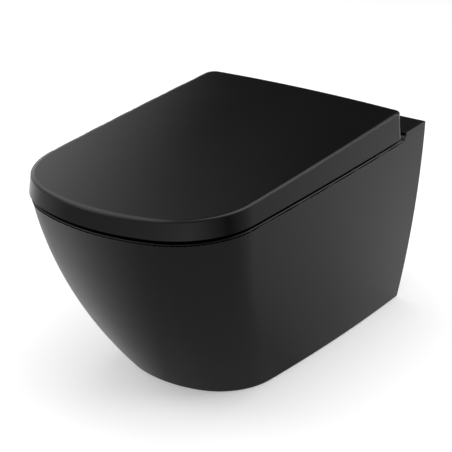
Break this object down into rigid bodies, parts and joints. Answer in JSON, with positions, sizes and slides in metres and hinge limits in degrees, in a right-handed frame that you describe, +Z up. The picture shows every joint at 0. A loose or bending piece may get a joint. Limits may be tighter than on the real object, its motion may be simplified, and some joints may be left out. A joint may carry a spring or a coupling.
{
  "type": "wall hung toilet",
  "caption": "Black wall hung toilet: ceramic pan with water trap, hidden wall clamps, soft close seat and wrap-over lid on quick release hinges",
  "frame": {"origin": "On the wall, midway between the two wall studs that carry the pan", "axes": "+Z up, +Y into the wall the pan hangs on, so the bowl points to -Y; X = 0 is the plane of symmetry of the bowl"},
  "size_m": [0.3598, 0.5982, 0.3545],
  "materials": {
    "pan_ceramic": "satin black glaze",
    "clamp_nylon": "natural nylon",
    "sleeve_plastic": "moulded, smooth",
    "zinc_steel": "zinc plated",
    "hinge_metal": "fine turned",
    "plug_rubber": "matt rubber",
    "hinge_plastic": "satin black moulding",
    "axle_steel": "ground",
    "spring_steel": "drawn wire",
    "button_plastic": "satin black moulding",
    "seat_resin": "satin black thermoset",
    "damper_plastic": "grey acetal",
    "buffer_rubber": "matt rubber",
    "lid_resin": "satin black thermoset"
  },
  "bodies": {
    "pan": {"ceramic_pan": "pan_ceramic", "fixing_clamp_right": "clamp_nylon", "fixing_clamp_left": "clamp_nylon", "stud_sleeves": "sleeve_plastic", "clamp_screws": "zinc_steel", "hinge_plates": "hinge_metal", "fixing_pins": "hinge_metal", "expansion_plugs": "plug_rubber", "plug_nuts": "zinc_steel"},
    "hinge_set": {"hinge_body_right": "hinge_plastic", "hinge_body_left": "hinge_plastic", "axle_right": "axle_steel", "axle_left": "axle_steel", "button_spring_right": "spring_steel", "button_spring_left": "spring_steel"},
    "button_right": {"release_button_right": "button_plastic"},
    "button_left": {"release_button_left": "button_plastic"},
    "seat": {"seat_ring": "seat_resin", "seat_bush": "damper_plastic", "seat_damper": "damper_plastic", "seat_buffers": "buffer_rubber"},
    "lid": {"lid_shell": "lid_resin", "lid_bush": "damper_plastic", "lid_damper": "damper_plastic", "lid_buffers": "buffer_rubber"}
  },
  "joints": [
    {"name": "hinge_lift_off", "type": "slide", "parent": "pan", "child": "hinge_set", "axis": [0, 0, 1], "range_m": [0, 0.035]},
    {"name": "release_button_right_push", "type": "slide", "parent": "hinge_set", "child": "button_right", "axis": [1, 0, 0], "range_m": [0, 0.0025], "stiffness_N_per_m": 800, "springref_m": -0.001, "deforming": ["button_spring_right"]},
    {"name": "release_button_left_push", "type": "slide", "parent": "hinge_set", "child": "button_left", "axis": [-1, 0, 0], "range_m": [0, 0.0025], "stiffness_N_per_m": 800, "springref_m": -0.001, "deforming": ["button_spring_left"]},
    {"name": "seat_hinge", "type": "hinge", "parent": "hinge_set", "child": "seat", "pos_m": [0, -0.086, 0.11274], "axis": [-1, 0, 0], "range_deg": [0, 95]},
    {"name": "lid_hinge", "type": "hinge", "parent": "seat", "child": "lid", "pos_m": [0, -0.086, 0.11274], "axis": [1, 0, 0], "range_deg": [-95, 0]}
  ]
}
